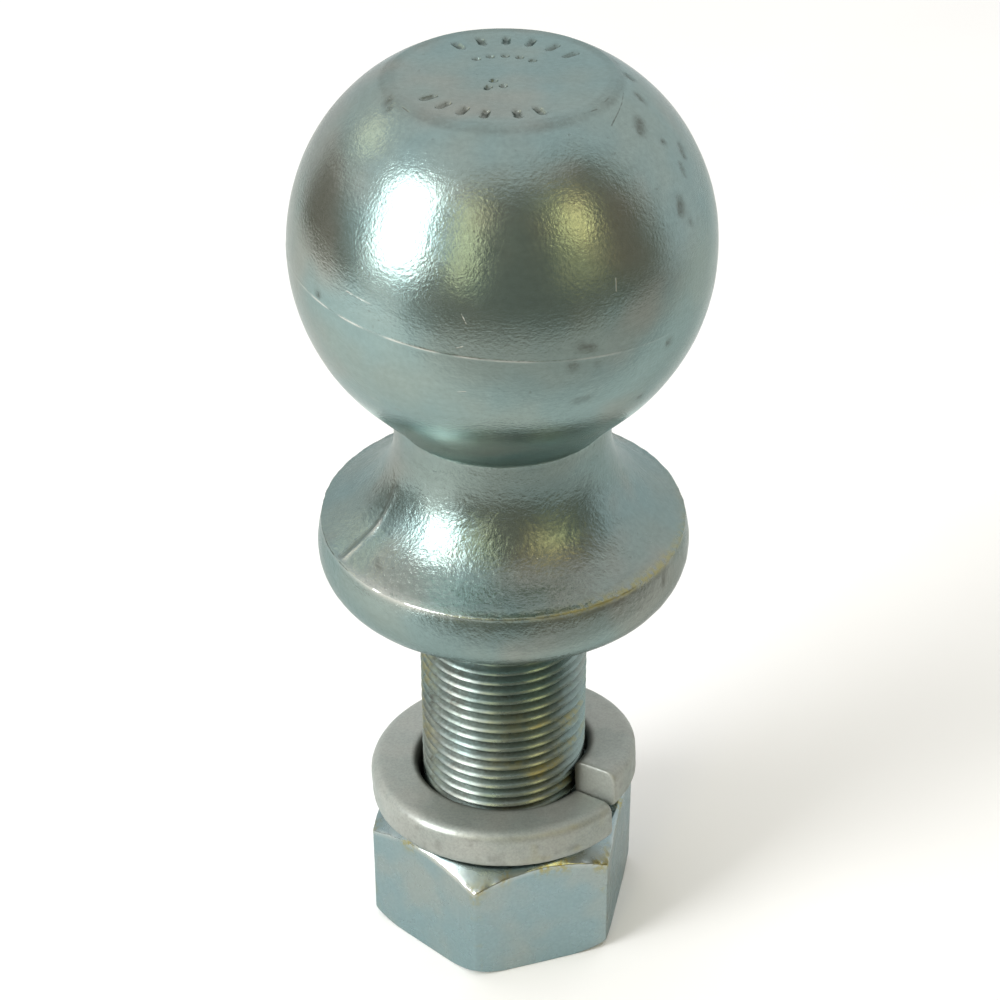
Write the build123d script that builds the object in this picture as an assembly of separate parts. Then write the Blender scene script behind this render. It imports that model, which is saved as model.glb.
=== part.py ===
from build123d import *
import math
import os

# A forged trailer hitch ball with its split lock washer and hex nut.
# The ball, neck, flange and threaded shank are one forging, so they are one node.
# Frame: the origin is on the shank's axis in the plane of the flange's underside, +Z is up through the
# ball, and -Y is the side that the washer's split and one corner of the nut face most nearly.
# Millimetres. Radii are about the Z axis unless a name says otherwise.

INCH = 25.4

# Ball
ball_radius = 2.3125 * INCH / 2
ball_centre_z = 55.0
crown_radius = 26.0          # the ball is drawn in slightly above this polar angle, up to the top flat
crown_start_angle = 60.0
ball_cone_angle = 43.0       # this far below its equator the ball runs on as a cone, down to the neck
top_flat_z = 79.65
top_flat_edge_radius = 0.4

# Neck
neck_radius = 15.6
neck_fillet_radius = 1.5
skirt_top_z = 25.0           # from here the neck sweeps out in a hollow curve, then a cone
skirt_turn = 60.0            # degrees that the curve turns through before the cone

# Flange
flange_radius = 27.25
flange_widest_z = 6.3
rim_under_radius = 6.0       # rounding from the rim to the seat
parting_line_radius = 26.5
parting_line_z = 10.6

# Shank
shank_radius = 1.0 * INCH / 2
shank_length = 2.125 * INCH
shoulder_length = 6.0
runout_length = 3.6
tip_chamfer = 1.5

# Thread: 1 in, 14 to the inch, 60 degrees. Its section is cut as rings, one to a pitch, and the nut's bore
# is plain and clears the crests, so the nut can run along the shank at any turn.
thread_pitch = INCH / 14
thread_crest_radius = 12.65
thread_root_radius = 11.54
thread_crest_width = thread_pitch / 8
thread_radial_clearance = 0.15
flank_slope = math.tan(math.radians(30))

# Hex nut
nut_across_flats = 37.5
nut_height = 20.3
nut_base_z = -63.6
nut_corner_angle = 17.8      # one corner, degrees from +X
nut_top_face_radius = 18.3
nut_base_face_radius = 19.0
nut_top_chamfer_drop = 2.8
nut_base_round_rise = 3.0
nut_countersink_radius = 13.3

# Split lock washer, left-hand, as on every right-hand thread
washer_bore_radius = 13.35
washer_outer_radius = 20.75
washer_thickness = 0.25 * INCH
washer_outer_edge_radius = 1.6
washer_bore_edge_radius = 1.2
washer_rise = 4.9            # how far one end stands above the other
washer_split_angle = -36.5   # the low end's face, degrees from +X
washer_split_gap = 2.0       # degrees of ring that the split takes away
washer_tilt = 6.5            # the loose washer lies tilted, on one spot of the nut's top face
washer_tilt_high_side = -68.0
washer_centre_z = -38.25


def arc_point(centre_x, centre_z, radius, degrees):
    """A point of the profile on a circle, measured from +X towards +Z."""
    turn = math.radians(degrees)
    return (centre_x + radius * math.cos(turn), centre_z + radius * math.sin(turn))


def profile_arc(centre_x, centre_z, radius, start, end):
    """A profile arc from one angle to another."""
    return ThreePointArc(
        arc_point(centre_x, centre_z, radius, start),
        arc_point(centre_x, centre_z, radius, (start + end) / 2),
        arc_point(centre_x, centre_z, radius, end),
    )


def lathe(edges):
    """The solid that a closed profile of (radius, z) edges turns about the Z axis."""
    return revolve(Plane.XZ * make_face(edges), Axis.Z)


def ringed_rod():
    """A rod with the thread's section all along it: crest, flank, root and flank at every pitch."""
    half_crest = thread_crest_width / 2
    flank_height = (thread_crest_radius - thread_root_radius) * flank_slope
    crest_count = math.ceil(shank_length / thread_pitch) + 1
    section = []
    for k in range(crest_count):
        crest_z = -shank_length + k * thread_pitch
        section += [
            (thread_root_radius, crest_z - half_crest - flank_height),
            (thread_crest_radius, crest_z - half_crest),
            (thread_crest_radius, crest_z + half_crest),
            (thread_root_radius, crest_z + half_crest + flank_height),
        ]
    return lathe(Polyline((0, section[0][1]), *section, (0, section[-1][1]), close=True).edges())


def ball_and_flange():
    """The turned shape above the thread: top flat, ball, neck, flange, seat and plain shoulder."""
    crown_shift = ball_radius - crown_radius
    crown_x = crown_shift * math.sin(math.radians(crown_start_angle))
    crown_z = ball_centre_z + crown_shift * math.cos(math.radians(crown_start_angle))
    edge_z = top_flat_z - top_flat_edge_radius
    edge_reach = crown_radius - top_flat_edge_radius
    edge_angle = math.degrees(math.asin((edge_z - crown_z) / edge_reach))
    edge_x = arc_point(crown_x, crown_z, edge_reach, edge_angle)[0]

    cone_top = arc_point(0, ball_centre_z, ball_radius, -ball_cone_angle)
    fillet_x = neck_radius + neck_fillet_radius
    cone_foot_x = fillet_x - neck_fillet_radius * math.cos(math.radians(ball_cone_angle))
    cone_foot_z = cone_top[1] - (cone_top[0] - cone_foot_x) / math.tan(math.radians(ball_cone_angle))
    fillet_z = cone_foot_z - neck_fillet_radius * math.sin(math.radians(ball_cone_angle))

    parting_line = (parting_line_radius, parting_line_z)
    turn = math.radians(skirt_turn)
    skirt_reach = parting_line_radius - neck_radius
    skirt_drop = skirt_top_z - parting_line_z
    skirt_radius = (skirt_drop * math.sin(turn) - skirt_reach * math.cos(turn)) / (1 - math.cos(turn))
    skirt_x = neck_radius + skirt_radius
    skirt_foot = arc_point(skirt_x, skirt_top_z, skirt_radius, 180 + skirt_turn)
    widest = (flange_radius, flange_widest_z)
    seat_edge = (flange_radius - rim_under_radius, 0)

    edges = [
        Line((0, top_flat_z), (edge_x, top_flat_z)),
        profile_arc(edge_x, edge_z, top_flat_edge_radius, 90, edge_angle),
        profile_arc(crown_x, crown_z, crown_radius, edge_angle, 90 - crown_start_angle),
        profile_arc(0, ball_centre_z, ball_radius, 90 - crown_start_angle, -ball_cone_angle),
        Line(cone_top, (cone_foot_x, cone_foot_z)),
        profile_arc(fillet_x, fillet_z, neck_fillet_radius, 180 - ball_cone_angle, 180),
        Line((neck_radius, fillet_z), (neck_radius, skirt_top_z)),
        profile_arc(skirt_x, skirt_top_z, skirt_radius, 180, 180 + skirt_turn),
        Line(skirt_foot, parting_line),
        TangentArc(widest, parting_line, tangent=(0, 1)),
        TangentArc(widest, seat_edge, tangent=(0, -1)),
        Line(seat_edge, (shank_radius, 0)),
        Line((shank_radius, 0), (shank_radius, -shoulder_length)),
        Line((shank_radius, -shoulder_length), (thread_root_radius, -shoulder_length - runout_length)),
        Line((thread_root_radius, -shoulder_length - runout_length), (0, -shoulder_length - runout_length)),
        Line((0, -shoulder_length - runout_length), (0, top_flat_z)),
    ]
    return lathe(edges)


def threaded_shank():
    """The full thread, from the shoulder to a chamfered tip."""
    outside = shank_radius + 1
    chamfer_top_z = -shank_length + tip_chamfer + outside - thread_crest_radius
    tip_radius = thread_crest_radius - tip_chamfer
    envelope = lathe(
        Polyline(
            (0, -shank_length),
            (tip_radius, -shank_length),
            (outside, chamfer_top_z),
            (outside, -shoulder_length),
            (0, -shoulder_length),
            close=True,
        ).edges()
    )
    return ringed_rod() & envelope


def hitch_ball():
    """Ball, neck, flange and threaded shank, forged in one piece."""
    return ball_and_flange() + threaded_shank()


def hex_nut():
    """Hex nut with a coned top edge, a rounded base edge and a countersunk bore that clears the thread."""
    corner_radius = nut_across_flats / math.sqrt(3)
    outside = corner_radius + 0.3
    hexagon = RegularPolygon(nut_across_flats / 2, 6, major_radius=False, rotation=nut_corner_angle)
    blank = extrude(hexagon, nut_height)
    cone_slope = nut_top_chamfer_drop / (corner_radius - nut_top_face_radius)
    cone_foot_z = nut_height - cone_slope * (outside - nut_top_face_radius)
    bore_radius = thread_crest_radius + thread_radial_clearance
    sink_depth = nut_countersink_radius - bore_radius
    turned = lathe(
        [
            Line((nut_countersink_radius, 0), (nut_base_face_radius, 0)),
            TangentArc((nut_base_face_radius, 0), (outside, nut_base_round_rise), tangent=(1, 0)),
            Line((outside, nut_base_round_rise), (outside, cone_foot_z)),
            Line((outside, cone_foot_z), (nut_top_face_radius, nut_height)),
            Line((nut_top_face_radius, nut_height), (nut_countersink_radius, nut_height)),
            Line((nut_countersink_radius, nut_height), (bore_radius, nut_height - sink_depth)),
            Line((bore_radius, nut_height - sink_depth), (bore_radius, sink_depth)),
            Line((bore_radius, sink_depth), (nut_countersink_radius, 0)),
        ]
    )
    return Pos(0, 0, nut_base_z) * (blank & turned)


def lock_washer():
    """Split spring washer: a rounded bar along a left-hand helix, lying tilted on the nut."""
    middle_radius = (washer_bore_radius + washer_outer_radius) / 2
    width = washer_outer_radius - washer_bore_radius
    ring_share = (360 - washer_split_gap) / 360
    path = Edge.make_helix(
        pitch=washer_rise / ring_share,
        height=washer_rise,
        radius=middle_radius,
        lefthand=True,
    )
    with BuildSketch(Plane((middle_radius, 0, 0), x_dir=(1, 0, 0), z_dir=(0, 1, 0))) as bar:
        Rectangle(width, washer_thickness)
        corners = bar.vertices().sort_by(Axis.X)
        fillet(corners[2:], washer_outer_edge_radius)
        fillet(bar.vertices().group_by(Axis.X)[0], washer_bore_edge_radius)
    ring = Pos(0, 0, -washer_rise / 2) * sweep(bar.sketch, path=path, is_frenet=True)
    high_side = math.radians(washer_tilt_high_side)
    tilt_axis = Axis((0, 0, 0), (math.sin(high_side), -math.cos(high_side), 0))
    turned = ring.rotate(Axis.Z, washer_split_angle)
    return Pos(0, 0, washer_centre_z) * turned.rotate(tilt_axis, washer_tilt)


if __name__ == "__main__":
    os.makedirs("parts", exist_ok=True)
    parts = {"hitch_ball": hitch_ball(), "lock_washer": lock_washer(), "hex_nut": hex_nut()}
    for name, shape in parts.items():
        export_step(shape, f"parts/{name}.step")
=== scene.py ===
import functools
import math

import bmesh
import bpy
import numpy as np
from mathutils import Matrix, Quaternion, Vector


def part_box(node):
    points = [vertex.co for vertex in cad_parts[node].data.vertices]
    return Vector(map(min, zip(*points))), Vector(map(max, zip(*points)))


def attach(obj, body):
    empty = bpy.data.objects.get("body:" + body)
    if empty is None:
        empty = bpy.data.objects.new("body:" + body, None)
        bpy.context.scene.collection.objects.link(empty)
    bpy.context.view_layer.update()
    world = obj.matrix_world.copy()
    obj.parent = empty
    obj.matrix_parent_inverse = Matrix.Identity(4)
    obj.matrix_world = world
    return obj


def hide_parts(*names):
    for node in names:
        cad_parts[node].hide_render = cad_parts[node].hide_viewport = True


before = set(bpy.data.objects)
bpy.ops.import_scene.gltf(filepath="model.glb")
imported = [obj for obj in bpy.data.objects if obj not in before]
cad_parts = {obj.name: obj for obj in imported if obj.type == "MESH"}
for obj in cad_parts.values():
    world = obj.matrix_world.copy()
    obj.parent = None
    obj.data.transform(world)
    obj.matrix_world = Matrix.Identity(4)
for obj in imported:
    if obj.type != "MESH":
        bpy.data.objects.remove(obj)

# A forged trailer hitch ball on its threaded shank, with a split lock washer and a hex nut.
# Each of the three is one closed mesh that stands for its CAD node. Heights are above the flange's
# underside, and radii are about the shank's axis. Azimuths run from +X towards +Y, so -90 degrees is the
# front.

MM = 0.001
TAU = 2 * math.pi

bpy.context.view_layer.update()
stud_low, stud_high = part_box("hitch_ball")
nut_low, nut_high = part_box("hex_nut")

# Ball, neck and flange
BALL_RADIUS = (stud_high.x - stud_low.x) / 2
BALL_CENTRE_Z = 55.0 * MM
TOP_Z = stud_high.z
CROWN_RADIUS = 26.0 * MM
CROWN_START = 60.0
TOP_EDGE_RADIUS = 0.4 * MM
TOP_FLAT_RADIUS = 14.0 * MM     # the stamped marks are inside this
CONE_ANGLE = 43.0
NECK_RADIUS = 15.6 * MM
NECK_FILLET = 1.5 * MM
SKIRT_TOP_Z = 25.0 * MM
SKIRT_TURN = 60.0
FLANGE_RADIUS = 27.25 * MM
FLANGE_WIDEST_Z = 6.3 * MM
RIM_UNDER_RADIUS = 6.0 * MM
PARTING_RADIUS = 26.5 * MM
PARTING_Z = 10.6 * MM

# Shank and thread
SHANK_RADIUS = 12.7 * MM
TIP_Z = stud_low.z
SHOULDER_Z = -6.0 * MM
RUNOUT_LENGTH = 3.6 * MM
TIP_CHAMFER = 1.5 * MM
PITCH = 25.4 / 14 * MM
CREST_RADIUS = 12.65 * MM
ROOT_RADIUS = 11.54 * MM
CREST_AZIMUTH_AT_TIP = 244.0
THREAD_CLEARANCE = 0.15 * MM

# Nut
NUT_BASE_Z = nut_low.z
NUT_TOP_Z = nut_high.z
HALF_FLATS = 37.5 / 2 * MM
NUT_CORNER_AZIMUTH = 17.8
NUT_TOP_FACE_RADIUS = 18.3 * MM
NUT_BASE_FACE_RADIUS = 19.0 * MM
NUT_CHAMFER_DROP = 2.8 * MM
NUT_BASE_ROUND = 2.95 * MM
COUNTERSINK_RADIUS = 13.3 * MM

# Lock washer
WASHER_BORE = 13.35 * MM
WASHER_OUTSIDE = 20.75 * MM
WASHER_THICKNESS = 6.35 * MM
WASHER_OUTER_ROUND = 1.6 * MM
WASHER_BORE_ROUND = 1.2 * MM
WASHER_RISE = 4.9 * MM
WASHER_SPLIT_AZIMUTH = -36.5
WASHER_GAP = 2.0
WASHER_TILT = 6.5
WASHER_HIGH_SIDE = -68.0
WASHER_CENTRE_Z = -38.25 * MM


# ---- shapes

def arc(centre, radius, start, end, step):
    """Points of a circle in (radius, height), from one angle to another in degrees, about a step apart."""
    count = max(2, round(abs(math.radians(end - start)) * radius / step))
    turn = np.radians(np.linspace(start, end, count + 1))
    return np.stack([centre[0] + radius * np.cos(turn), centre[1] + radius * np.sin(turn)], axis=1)


def join(*stretches):
    """One outline from stretches that meet end to end."""
    return np.vstack([stretches[0]] + [s[1:] for s in stretches[1:]])


def straight(start, end, step):
    """Points of a straight stretch, about a step apart."""
    count = max(1, round(math.dist(start, end) / step))
    return np.linspace(start, end, count + 1)


def ring_azimuths(count):
    """Azimuths in radians, evenly spaced all round."""
    return np.arange(count) * TAU / count


def about_axis(radius, azimuth, height):
    """Points from their distance from the axis, azimuth in radians and height."""
    radius, azimuth, height = np.broadcast_arrays(radius, azimuth, height)
    return np.stack([radius * np.cos(azimuth), radius * np.sin(azimuth), height], axis=-1)


def polar(points):
    """Each point's distance from the axis and azimuth in radians."""
    return np.hypot(points[..., 0], points[..., 1]), np.arctan2(points[..., 1], points[..., 0])


def turned(outline, azimuths):
    """Rows of points: the outline's (radius, height) points at each azimuth."""
    return about_axis(outline[:, :1], azimuths, outline[:, 1:])


def lumps(points, size, seed):
    """Smooth noise from -1 to 1 that changes over a distance of size."""
    cells = 32
    values = np.random.default_rng(seed).uniform(-1, 1, (cells, cells, cells))
    place = points / size
    low = np.floor(place).astype(int)
    part = place - low
    part = part * part * (3 - 2 * part)
    total = np.zeros(points.shape[:-1])
    for corner in np.ndindex(2, 2, 2):
        weight = np.prod(np.where(corner, part, 1 - part), axis=-1)
        index = (low + corner) % cells
        total += weight * values[index[..., 0], index[..., 1], index[..., 2]]
    return total


def distance_to(points, path):
    """Each point's distance from a path of straight runs; a path of one point is a spot."""
    path = [np.array(p, float) for p in path]
    best = np.linalg.norm(points - path[0], axis=-1)
    for start, end in zip(path, path[1:]):
        run = end - start
        share = np.clip(((points - start) @ run) / (run @ run), 0, 1)
        best = np.minimum(best, np.linalg.norm(points - start - share[..., None] * run, axis=-1))
    return best


def hollow(distance, width):
    """1 in the middle of a groove or pit of that half width, falling smoothly to 0 past its edge."""
    return np.exp(-((distance / width) ** 4))


def bell(offset, width):
    """1 where the offset is nought, falling smoothly away over about twice the width."""
    return np.exp(-((offset / width) ** 2))


def smooth_step(value, low, high):
    """0 up to low and 1 from high on, with a smooth rise between them."""
    share = np.clip((value - low) / (high - low), 0, 1)
    return share * share * (3 - 2 * share)


class Shell:
    """Gathers grids of points into one mesh. Points that coincide are merged when it is built."""

    def __init__(self):
        self.points = []
        self.faces = []
        self.count = 0

    def _take(self, points):
        flat = np.asarray(points, float).reshape(-1, 3)
        first = self.count
        self.points.append(flat)
        self.count += len(flat)
        return first

    def grid(self, rows, closed=True):
        """Rows of points; a closed grid joins the last column to the first."""
        first = self._take(rows)
        height, width = rows.shape[:2]
        for j in range(height - 1):
            a = first + j * width
            b = a + width
            for i in range(width if closed else width - 1):
                k = (i + 1) % width
                self.faces.append((a + i, b + i, b + k, a + k))

    def halve(self, fine, coarse):
        """Joins a ring to a ring of half as many points."""
        a, b = self._take(fine), self._take(coarse)
        width = len(coarse)
        for i in range(width):
            k = (i + 1) % width
            left, middle, right = a + 2 * i, a + 2 * i + 1, a + (2 * i + 2) % (2 * width)
            self.faces += [(left, b + i, middle), (middle, b + i, b + k), (middle, b + k, right)]

    def fan(self, ring, centre, flip=False):
        """Closes a ring to one point."""
        a, c = self._take(ring), self._take([centre])
        for i in range(len(ring)):
            k = (i + 1) % len(ring)
            self.faces.append((a + i, c, a + k) if not flip else (a + k, c, a + i))

    def build(self, name, sharp_angle):
        """The merged mesh as an object, shaded smooth except across edges sharper than the angle."""
        mesh = bpy.data.meshes.new(name)
        mesh.from_pydata(np.vstack(self.points).tolist(), [], self.faces)
        shape = bmesh.new()
        shape.from_mesh(mesh)
        bmesh.ops.remove_doubles(shape, verts=shape.verts, dist=1e-6)
        bmesh.ops.recalc_face_normals(shape, faces=shape.faces)
        shape.to_mesh(mesh)
        shape.free()
        mesh.shade_smooth()
        mesh.set_sharp_from_angle(angle=math.radians(sharp_angle))
        piece = bpy.data.objects.new(name, mesh)
        bpy.context.scene.collection.objects.link(piece)
        return piece


def store(piece, name, values):
    """A value from 0 to 1 per vertex, which the piece's material reads."""
    attribute = piece.data.attributes.new(name, "FLOAT", "POINT")
    attribute.data.foreach_set("value", np.clip(values, 0, 1).astype(np.float32))


def vertices_of(piece):
    flat = np.zeros(len(piece.data.vertices) * 3)
    piece.data.vertices.foreach_get("co", flat)
    return flat.reshape(-1, 3)


# ---- thread

def thread_radius(azimuth, height, grow=0.0):
    """The thread's surface at a height: a rolled thread, with its crest and root rounded."""
    turns = (height - TIP_Z) / PITCH - (azimuth - math.radians(CREST_AZIMUTH_AT_TIP)) / TAU
    swell = 0.5 + 0.5 * np.cos(TAU * turns)
    return ROOT_RADIUS + (CREST_RADIUS - ROOT_RADIUS) * swell**0.75 + grow


def thread_rows(azimuths, low, high):
    """Heights that follow the helix, as rows by azimuths, cut off at low and high."""
    shares = np.arange(8) / 8
    turns = azimuths / TAU - CREST_AZIMUTH_AT_TIP / 360
    first = math.floor((low - TIP_Z) / PITCH) - 2
    last = math.ceil((high - TIP_Z) / PITCH) + 2
    steps = (np.arange(first, last)[:, None] + shares).ravel()
    return np.clip(TIP_Z + PITCH * (steps[:, None] + turns), low, high)


# ---- hitch ball

# The outline's rows are close together on these rings of the top flat, in millimetres, and near the flash.
STAMPED_RINGS = [(1.0, 4.2), (5.0, 7.4), (9.8, 12.9)]
FLASH_REACH = 1.1 * MM
TOP_HOLE_RADIUS = 0.4 * MM


def rim_circle(end):
    """The circle that leaves the flange's widest ring upright and runs to a point of the outline: its
    centre, its radius and the degrees that it turns through."""
    reach, rise = FLANGE_RADIUS - end[0], end[1] - FLANGE_WIDEST_Z
    radius = (reach**2 + rise**2) / (2 * reach)
    return (FLANGE_RADIUS - radius, FLANGE_WIDEST_Z), radius, math.degrees(math.asin(rise / radius))


def forging_outline():
    """(radius, height) from the top of the ball to the edge of the seat, finer where marks are small."""
    shift = BALL_RADIUS - CROWN_RADIUS
    crown = (
        shift * math.sin(math.radians(CROWN_START)),
        BALL_CENTRE_Z + shift * math.cos(math.radians(CROWN_START)),
    )
    edge_z = TOP_Z - TOP_EDGE_RADIUS
    edge_angle = math.degrees(math.asin((edge_z - crown[1]) / (CROWN_RADIUS - TOP_EDGE_RADIUS)))
    edge_x = crown[0] + (CROWN_RADIUS - TOP_EDGE_RADIUS) * math.cos(math.radians(edge_angle))
    ball = (0, BALL_CENTRE_Z)
    cone = math.radians(CONE_ANGLE)
    cone_top = (BALL_RADIUS * math.cos(cone), BALL_CENTRE_Z - BALL_RADIUS * math.sin(cone))
    fillet_x = NECK_RADIUS + NECK_FILLET
    foot_x = fillet_x - NECK_FILLET * math.cos(cone)
    foot_z = cone_top[1] - (cone_top[0] - foot_x) / math.tan(cone)
    fillet_z = foot_z - NECK_FILLET * math.sin(cone)
    parting = (PARTING_RADIUS, PARTING_Z)
    turn = math.radians(SKIRT_TURN)
    reach, drop = PARTING_RADIUS - NECK_RADIUS, SKIRT_TOP_Z - PARTING_Z
    skirt_radius = (drop * math.sin(turn) - reach * math.cos(turn)) / (1 - math.cos(turn))
    skirt_foot = (
        NECK_RADIUS + skirt_radius * (1 - math.cos(turn)),
        SKIRT_TOP_Z - skirt_radius * math.sin(turn),
    )
    near_parting = (PARTING_RADIUS - FLASH_REACH, PARTING_Z + FLASH_REACH / math.tan(turn))
    rim, rim_radius, rim_turn = rim_circle(parting)
    under, under_radius, under_turn = rim_circle((FLANGE_RADIUS - RIM_UNDER_RADIUS, 0))
    top = []
    reached = TOP_HOLE_RADIUS
    for inner, outer in STAMPED_RINGS:
        top.append(straight((reached, TOP_Z), (inner * MM, TOP_Z), 0.7 * MM))
        top.append(straight((inner * MM, TOP_Z), (outer * MM, TOP_Z), 0.24 * MM))
        reached = outer * MM
    return join(
        *top,
        straight((reached, TOP_Z), (edge_x, TOP_Z), 0.7 * MM),
        arc((edge_x, edge_z), TOP_EDGE_RADIUS, 90, edge_angle, 0.1 * MM),
        arc(crown, CROWN_RADIUS, edge_angle, 90 - CROWN_START, 0.75 * MM),
        arc(ball, BALL_RADIUS, 90 - CROWN_START, 1.6, 0.75 * MM),
        arc(ball, BALL_RADIUS, 1.6, 0.5, 0.2 * MM),
        arc(ball, BALL_RADIUS, 0.5, -0.5, 0.1 * MM),
        arc(ball, BALL_RADIUS, -0.5, -1.6, 0.2 * MM),
        arc(ball, BALL_RADIUS, -1.6, -CONE_ANGLE, 0.8 * MM),
        straight(cone_top, (foot_x, foot_z), 0.8 * MM),
        arc((fillet_x, fillet_z), NECK_FILLET, 180 - CONE_ANGLE, 180, 0.25 * MM),
        straight((NECK_RADIUS, fillet_z), (NECK_RADIUS, SKIRT_TOP_Z), 0.6 * MM),
        arc((NECK_RADIUS + skirt_radius, SKIRT_TOP_Z), skirt_radius, 180, 180 + SKIRT_TURN, 0.65 * MM),
        straight(skirt_foot, near_parting, 0.65 * MM),
        straight(near_parting, parting, 0.16 * MM),
        arc(rim, rim_radius, rim_turn, 0.7 * rim_turn, 0.16 * MM),
        arc(rim, rim_radius, 0.7 * rim_turn, 0, 0.5 * MM),
        arc(under, under_radius, 0, under_turn, 0.9 * MM),
    )


SEAM_DROP = 3.0          # degrees that the die's seam lies below the ball's equator, on average
SEAM_TILT = 4.6          # degrees that its plane is tilted
SEAM_LEVEL_AZIMUTH = -80


def seam_rise(azimuths):
    """How far the die's seam stands above the ball's equator, in radians."""
    return np.radians(-SEAM_DROP - SEAM_TILT * np.sin(azimuths - math.radians(SEAM_LEVEL_AZIMUTH)))


def ball_angles(points):
    """Each point's azimuth, and its rise above the equator as seen from the ball's centre, in radians."""
    radius, azimuth = polar(points)
    return azimuth, np.arctan2(points[..., 2] - BALL_CENTRE_Z, radius)


def follow_seam(rows):
    """Bends the ball's rows so that the one on its equator runs along the seam."""
    azimuth, rise = ball_angles(rows)
    share = 1 - smooth_step(np.abs(rise), math.radians(3), math.radians(28))
    bent = rise + seam_rise(azimuth) * share
    ball = about_axis(BALL_RADIUS * np.cos(bent), azimuth, BALL_CENTRE_Z + BALL_RADIUS * np.sin(bent))
    return np.where((share > 0)[..., None], ball, rows)


def from_seam(points):
    """Each point's distance up the ball from the seam."""
    azimuth, rise = ball_angles(points)
    return (rise - seam_rise(azimuth)) * BALL_RADIUS


def seam_strength(azimuth):
    """The seam is plain on one side of the ball and nearly polished away on the other."""
    return 0.12 + 0.88 * np.clip(np.cos(azimuth + math.radians(130)), 0, 1) ** 0.7


def surface_point(outline, azimuth, height):
    """The point of the forging at an azimuth in degrees and a height in millimetres."""
    radius = np.interp(height * MM, outline[::-1, 1], outline[::-1, 0])
    return about_axis(radius, math.radians(azimuth), height * MM)


def from_mark(points, outline, places):
    """Each point's distance from a mark given as (azimuth, height) places."""
    return distance_to(points, [surface_point(outline, *place) for place in places])


# Plain marks stamped in the top flat in place of lettering, as azimuths and the radius they stand at.
BACK_BARS = [121, 104, 87, 70, 53, 36], 11.3 * MM
FRONT_BARS = [-146, -131, -116, -101, -80, -65], 11.4 * MM
DIMPLE_ARC = [122, 104, 86, 68, 50], 6.3 * MM
CENTRE_DIMPLES = [-20, 100, 220], 1.15 * MM
CENTRE_DIMPLES_AT = (-0.9 * MM, -2.6 * MM, 0)
HALF_BAR = 0.75 * MM


def top_marks():
    """Paths of the stamped marks: a bar's two ends, or a dimple's one point."""
    def at(azimuth, radius):
        return about_axis(radius, math.radians(azimuth), TOP_Z)

    marks = []
    for azimuths, radius in (BACK_BARS, FRONT_BARS):
        marks += [[at(azimuth, radius - HALF_BAR), at(azimuth, radius + HALF_BAR)] for azimuth in azimuths]
    marks += [[at(azimuth, DIMPLE_ARC[1])] for azimuth in DIMPLE_ARC[0]]
    marks += [[at(azimuth, CENTRE_DIMPLES[1]) + CENTRE_DIMPLES_AT] for azimuth in CENTRE_DIMPLES[0]]
    return marks


def stamped_share(points):
    """1 in the middle of the stamped marks, 0 beside them."""
    share = np.zeros(points.shape[:-1])
    for mark in top_marks():
        share = np.maximum(share, hollow(distance_to(points, mark), 0.52 * MM))
    return share


# Forging and handling marks as (azimuth, height) in degrees and millimetres, with half width and depth.
BALL_PITS = [
    ([(6, 78.9), (4, 78.6)], 0.45, 0.14),
    ([(-8.3, 77.9), (-10, 77.4)], 0.4, 0.14),
    ([(-24, 76.8), (-28, 76.2)], 0.62, 0.22),
    ([(-21, 73.9)], 0.4, 0.16),
    ([(-13, 72.0), (-15, 71.2)], 0.45, 0.15),
    ([(-20, 70.9), (-21, 69.9)], 0.35, 0.12),
    ([(-29.5, 67.9), (-31, 66.8)], 0.6, 0.22),
    ([(-27.9, 64.7)], 0.4, 0.14),
    ([(-41.5, 50.6)], 0.5, 0.18),
    ([(-157, 79.2), (-155, 79.1)], 0.5, 0.2),
    ([(-151, 78.8)], 0.45, 0.18),
    ([(-145, 56.6)], 0.45, 0.16),
    ([(-70, 54.9), (-67, 54.4)], 0.5, 0.13),
    ([(-72, 52.2)], 0.6, 0.15),
    ([(-65.5, 51.8)], 0.4, 0.1),
    ([(-70.4, 46.0), (-67, 46.3)], 0.5, 0.08),
    ([(-46.4, 42.1)], 0.5, 0.12),
    ([(-112, 33.5)], 0.5, 0.12),
    ([(64, 61.0), (66, 60.2)], 0.6, 0.2),
    ([(71, 66.0)], 0.45, 0.15),
    ([(108, 48.0)], 0.5, 0.18),
    ([(131, 70.5), (134, 70.0)], 0.5, 0.16),
    ([(166, 52.0)], 0.6, 0.2),
    ([(22, 44.0)], 0.5, 0.15),
]
BALL_SCRATCHES = [
    ([(-36.7, 78.3), (-35.0, 77.4), (-37.5, 76.9)], 0.28, 0.08),
    ([(84, 58.0), (96, 56.5), (104, 56.2)], 0.28, 0.06),
    ([(150, 63.0), (158, 60.5)], 0.28, 0.05),
]
# Hairlines too fine for the mesh's rows, drawn in the zinc: (azimuth, height) of both ends, and half width.
BRIGHT_HAIRLINES = [
    ((-133.6, 59.4), (-125.6, 59.0), 0.15),
    ((-131.0, 42.8), (-120.2, 42.4), 0.10),
    ((-100.3, 60.2), (-99.1, 59.0), 0.12),
    ((-101.4, 55.5), (-99.9, 55.8), 0.11),
    ((-101.7, 48.5), (-99.6, 48.7), 0.11),
    ((-59.5, 63.0), (-59.8, 61.4), 0.11),
]
DARK_HAIRLINES = [
    ((-15.1, 79.0), (-23.0, 78.7), 0.12),
    ((-23.0, 78.7), (-30.5, 78.4), 0.12),
    ((-30.5, 78.4), (-39.0, 77.9), 0.14),
    ((-26.7, 79.55), (-33.0, 79.5), 0.12),
    ((-39.0, 79.4), (-47.0, 79.5), 0.12),
    ((-146.2, 79.4), (-138.0, 79.3), 0.12),
]
# A fold left by the forging die runs down the flange's left side to the parting line.
FLANGE_FOLD = [
    (-154.6, 19.5), (-153.9, 17.9), (-153.2, 17.3), (-152.5, 15.5),
    (-151.4, 14.0), (-151.2, 12.8), (-150.9, 11.9), (-150.3, 10.9),
]
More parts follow.
